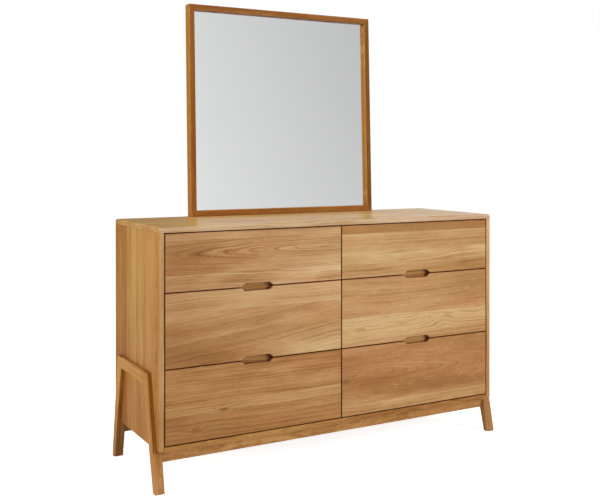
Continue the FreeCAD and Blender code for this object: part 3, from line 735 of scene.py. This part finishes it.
# Hardboard behind the glass: pressed fibre, smooth and evenly brown with darker specks
hardboard = {
    "tones": [(0.35, (0.115, 0.062, 0.030)), (0.50, (0.190, 0.108, 0.055)), (0.65, (0.270, 0.165, 0.090))],
    "mottle": 14.0,
    "mottleSwing": 0.35,
    "fibre": 420.0,
    "fibreDepth": 0.0002,
    "relief": 0.4,
    "roughness": 0.62,
}
material, tree, shader = newMaterial("hardboard")
place = tree.nodes.new("ShaderNodeTexCoord").outputs["Object"]
mottle = cloud(tree, stretched(tree, place, *(hardboard["mottle"],) * 3), detail=3.0)
fibre = cloud(tree, stretched(tree, place, *(hardboard["fibre"],) * 3), detail=3.0, roughness=0.6)
tone = swing(tree, mottle, hardboard["mottleSwing"], fibre)
feed(tree, shader.inputs["Base Color"], ramp(tree, tone, hardboard["tones"]))
shader.inputs["Roughness"].default_value = hardboard["roughness"]
relief(tree, shader, fibre, hardboard["fibreDepth"], hardboard["relief"])
dress("mirror_backing", material)

# Mirror glass: silver seen through float glass, with the faintest haze
silver = {"tones": [(0.3, (0.885, 0.893, 0.890)), (0.7, (0.905, 0.910, 0.908))], "haze": (0.006, 0.016),
          "hazeScale": (3.0, 3.0, 3.0)}
material, tree, shader = newMaterial("mirrorSilver")
place = tree.nodes.new("ShaderNodeTexCoord").outputs["Object"]
haze = cloud(tree, stretched(tree, place, *silver["hazeScale"]), detail=4.0)
feed(tree, shader.inputs["Base Color"], ramp(tree, haze, silver["tones"]))
feed(tree, shader.inputs["Roughness"], remap(tree, haze, *noiseRange, *silver["haze"]))
shader.inputs["Metallic"].default_value = 1.0
dress("mirror_glass", material)
print("mirror dressed")


# Zinc-plated runners, rolled lengthwise and a little mottled; and darker plated bolts and screws
metals = {
    "runnerZinc": {
        "tones": [(0.30, (0.52, 0.53, 0.55)), (0.55, (0.59, 0.60, 0.61)), (0.75, (0.65, 0.65, 0.64))],
        "scale": (420.0, 5.0, 420.0), "mottle": 170.0, "roughness": (0.32, 0.40),
    },
    "boltSteel": {
        "tones": [(0.30, (0.20, 0.20, 0.21)), (0.55, (0.30, 0.30, 0.31)), (0.75, (0.40, 0.39, 0.37))],
        "scale": (300.0, 300.0, 300.0), "mottle": 120.0, "roughness": (0.32, 0.48),
    },
}
rolling = {"swing": 0.5, "depth": 0.00004, "relief": 0.3}
finishes = {}
for name, metal in metals.items():
    material, tree, shader = newMaterial(name)
    place = tree.nodes.new("ShaderNodeTexCoord").outputs["Object"]
    rolled = cloud(tree, stretched(tree, place, *metal["scale"]), detail=3.0)
    mottle = cloud(tree, stretched(tree, place, *(metal["mottle"],) * 3), detail=3.0, roughness=0.6)
    tone = swing(tree, rolled, rolling["swing"], mottle)
    feed(tree, shader.inputs["Base Color"], ramp(tree, tone, metal["tones"]))
    feed(tree, shader.inputs["Roughness"], remap(tree, tone, *noiseRange, *metal["roughness"]))
    relief(tree, shader, rolled, rolling["depth"], rolling["relief"])
    shader.inputs["Metallic"].default_value = 1.0
    finishes[name] = material
for name in nodes:
    if name.endswith("runners"):
        dress(name, finishes["runnerZinc"])
    elif name in ("base_bolts", "mirror_screws"):
        dress(name, finishes["boltSteel"])
print("metal dressed")


# Screws that the model leaves to this script: a domed head with a hexagon drive. The profile is the share of
# the radius at each share of the height
screw = {
    "sides": 24,
    "profile": ((1.00, 0.00), (1.00, 0.25), (0.90, 0.65), (0.68, 0.92), (0.55, 1.00)),
    "drive": 0.46,
    "driveFloor": 0.35,
}


def steelPiece(name, work, body):  # makes the finished mesh a piece that rides on its body
    mesh = bpy.data.meshes.new(name)
    work.to_mesh(mesh)
    work.free()
    piece = bpy.data.objects.new(name, mesh)
    bpy.context.scene.collection.objects.link(piece)
    mesh.materials.append(finishes["boltSteel"])
    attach(piece, body)


def screwHeads(name, body, places, outward, radius, height):
    work = bmesh.new()
    turn = Vector(outward).to_track_quat("Z", "Y")
    angles = [2 * math.pi * side / screw["sides"] for side in range(screw["sides"])]
    sixth = math.pi / 3
    hexagon = [math.cos(sixth / 2) / math.cos(angle % sixth - sixth / 2) * screw["drive"]
               for angle in angles]
    rings = [([share] * len(angles), level) for share, level in screw["profile"]]
    rings += [(hexagon, 1.0), (hexagon, screw["driveFloor"])]
    for place in places:
        made = []
        for shares, level in rings:
            points = [Vector((math.cos(angle) * share * radius, math.sin(angle) * share * radius,
                              level * height)) for angle, share in zip(angles, shares)]
            made.append([work.verts.new(Vector(place) + turn @ point) for point in points])
        for lower, upper in zip(made, made[1:]):
            for index in range(len(angles)):
                after = (index + 1) % len(angles)
                work.faces.new((lower[index], lower[after], upper[after], upper[index]))
        work.faces.new(made[0][::-1])
        work.faces.new(made[-1])
    for face in work.faces:
        face.smooth = len(face.verts) == 4
    steelPiece(name, work, body)


# The back is screwed on around its edges and into the divider
backScrews = {"columns": (0.150, 0.458), "inset": 0.0045, "rise": 0.008, "radius": 0.0036, "height": 0.0012,
              "sideHeights": (0.28, 0.43, 0.58, 0.73)}
low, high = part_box("back_panel")
places = []
for z in (low.z + backScrews["rise"], high.z - backScrews["rise"]):
    xs = (0.0, *backScrews["columns"], high.x - backScrews["inset"])
    places += [(x * sign, high.y, z) for x in xs for sign in ((1, -1) if x else (1,))]
for z in backScrews["sideHeights"]:
    places += [(x, high.y, z) for x in (low.x + backScrews["inset"], 0.0, high.x - backScrews["inset"])]
screwHeads("back_panel_screws", "carcass", places, (0, 1, 0), backScrews["radius"], backScrews["height"])

# Each drawer member of a runner is screwed to its box side through its web
runnerScrews = {"alongs": (-0.18, -0.02, 0.13), "webInset": 0.0083, "radius": 0.0035, "height": 0.0018}
for drawer in fronts:
    low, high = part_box(drawer + "_drawer_runners")
    middle = (low.z + high.z) / 2
    for side, x, outward in (("left", low.x + runnerScrews["webInset"], -1),
                             ("right", high.x - runnerScrews["webInset"], 1)):
        places = [(x, y, middle) for y in runnerScrews["alongs"]]
        screwHeads(drawer + "_" + side + "_runner_screws", drawer + "_drawer", places, (outward, 0, 0),
                   runnerScrews["radius"], runnerScrews["height"])

# Framer's points hold the backing board in the frame's rebate
framer = {"lean": math.radians(1.8), "halfWidth": 0.399, "low": 0.014, "high": 0.806, "fromRear": 0.013,
          "length": 0.011, "wide": 0.009, "narrow": 0.003, "thick": 0.0006,
          "ups": (0.11, 0.31, 0.51, 0.71), "acrosses": (-0.30, -0.10, 0.10, 0.30)}
_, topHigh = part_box("top_panel")
sine, cosine = math.sin(framer["lean"]), math.cos(framer["lean"])


def onBacking(across, up, lift):  # a place on the backing board's rear face, along the leaning frame
    inward = lift - framer["fromRear"]
    return Vector((across, topHigh.y + inward * cosine + up * sine, topHigh.z + up * cosine - inward * sine))


spots = [((side * framer["halfWidth"], up), (-side, 0)) for side in (-1, 1) for up in framer["ups"]]
for across in framer["acrosses"]:
    spots += [((across, framer["low"]), (0, 1)), ((across, framer["high"]), (0, -1))]
work = bmesh.new()
for (across, up), (wayAcross, wayUp) in spots:
    outline = ((0, -framer["wide"] / 2), (0, framer["wide"] / 2),
               (framer["length"], framer["narrow"] / 2), (framer["length"], -framer["narrow"] / 2))
    layers = []
    for lift in (0.0, framer["thick"]):
        layers.append([work.verts.new(onBacking(across + wayAcross * reach - wayUp * aside,
                                                up + wayUp * reach + wayAcross * aside, lift))
                       for reach, aside in outline])
    work.faces.new(layers[0])
    work.faces.new(layers[1][::-1])
    for index in range(len(outline)):
        after = (index + 1) % len(outline)
        work.faces.new((layers[0][after], layers[0][index], layers[1][index], layers[1][after]))
bmesh.ops.recalc_face_normals(work, faces=work.faces)
steelPiece("mirror_framer_points", work, "carcass")
print("fixings added")


# Studio: pale floor, soft lamps, and a background that is white to the lens
studio = {
    "worldStrength": 0.26,
    "floorSize": 30.0,
    "floorColour": (0.8, 0.8, 0.8, 1.0),
    "floorGlow": 0.8,
    "lampsAim": (0.0, 0.0, 0.7),
    "frontLamp": {"place": (3.0, -4.6, 1.9), "size": 2.2, "power": 222.0, "inGlass": False},
    "leftLamp": {"place": (-4.8, -0.3, 1.7), "size": 2.6, "power": 120.0, "inGlass": True},
    "topLamp": {"place": (0.0, -0.6, 4.6), "size": 3.0, "power": 90.0, "inGlass": False},
    "glassSky": {"level": 1.246, "towardsRight": -1.10, "upwards": -0.40, "behind": -2.2,
                 "behindRight": 4.1, "least": 0.12, "most": 0.90},
}
world = bpy.data.worlds.new("studio")
bpy.context.scene.world = world
world.use_nodes = True
tree = world.node_tree
background = tree.nodes["Background"]
background.inputs["Color"].default_value = (1.0, 1.0, 1.0, 1.0)
path = tree.nodes.new("ShaderNodeLightPath").outputs
shiny = maths(tree, "MAXIMUM", path["Is Glossy Ray"], path["Is Transmission Ray"])
right, depth, up = split(tree, tree.nodes.new("ShaderNodeTexCoord").outputs["Generated"])
sky = studio["glassSky"]  # glass and metal mirror a pale wall that darkens upwards, rightwards and behind
wall = maths(tree, "MULTIPLY_ADD", right, sky["towardsRight"], sky["level"])
wall = maths(tree, "MULTIPLY_ADD", up, sky["upwards"], wall)
behind = maths(tree, "MULTIPLY_ADD", right, sky["behindRight"], sky["behind"])
wall = maths(tree, "MULTIPLY_ADD", maths(tree, "MAXIMUM", depth, 0.0), behind, wall)
wall = maths(tree, "MINIMUM", maths(tree, "MAXIMUM", wall, sky["least"]), sky["most"])
wall = maths(tree, "SUBTRACT", wall, studio["worldStrength"])
strength = maths(tree, "MULTIPLY_ADD", shiny, wall, studio["worldStrength"])
strength = maths(tree, "MAXIMUM", strength, path["Is Camera Ray"])
feed(tree, background.inputs["Strength"], strength)

floorMesh = bpy.data.meshes.new("studioFloor")
half = studio["floorSize"] / 2
floorCorners = [(-half, -half, 0), (half, -half, 0), (half, half, 0), (-half, half, 0)]
floorMesh.from_pydata(floorCorners, [], [(0, 1, 2, 3)])
floor = bpy.data.objects.new("studioFloor", floorMesh)
bpy.context.scene.collection.objects.link(floor)
floorPaint, tree, shader = newMaterial("studioFloor")
shader.inputs["Base Color"].default_value = studio["floorColour"]
shader.inputs["Roughness"].default_value = 1.0
shader.inputs["Specular IOR Level"].default_value = 0.0
path = tree.nodes.new("ShaderNodeLightPath").outputs
shader.inputs["Emission Color"].default_value = (1.0, 1.0, 1.0, 1.0)
glow = maths(tree, "MULTIPLY", path["Is Camera Ray"], studio["floorGlow"])
feed(tree, shader.inputs["Emission Strength"], glow)
floorMesh.materials.append(floorPaint)

for name in ("frontLamp", "leftLamp", "topLamp"):
    data = bpy.data.lights.new(name, "AREA")
    data.size = studio[name]["size"]
    data.energy = studio[name]["power"]
    lamp = bpy.data.objects.new(name, data)
    lamp.visible_glossy = studio[name]["inGlass"]
    lamp.location = studio[name]["place"]
    lamp.rotation_euler = (Vector(studio["lampsAim"]) - lamp.location).to_track_quat("-Z", "Y").to_euler()
    bpy.context.scene.collection.objects.link(lamp)
print("studio lit")


# Camera: level, looking past the dresser's left corner, with the horizon above the middle of the picture
shot = {
    "imageWidth": 600,
    "imageHeight": 500,
    "sensorWidth": 36.0,
    "focalPixels": 901.0,
    "turn": 29.096,
    "eyeHeight": 1.109,
    "leftOfCorner": 1.0276,
    "inFrontOfFace": 2.793,
    "horizonRow": 154.5,
}
corner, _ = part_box("left_side_panel")
cameraData = bpy.data.cameras.new("photoCamera")
cameraData.sensor_width = shot["sensorWidth"]
cameraData.lens = cameraData.sensor_width * shot["focalPixels"] / shot["imageWidth"]
cameraData.shift_y = -(shot["imageHeight"] / 2 - shot["horizonRow"]) / shot["imageWidth"]
camera = bpy.data.objects.new("photoCamera", cameraData)
camera.location = (corner.x - shot["leftOfCorner"], corner.y - shot["inFrontOfFace"], shot["eyeHeight"])
camera.rotation_euler = (math.radians(90), 0, -math.radians(shot["turn"]))
bpy.context.scene.collection.objects.link(camera)
bpy.context.scene.camera = camera
bpy.context.scene.view_settings.view_transform = "Standard"
print("camera set")
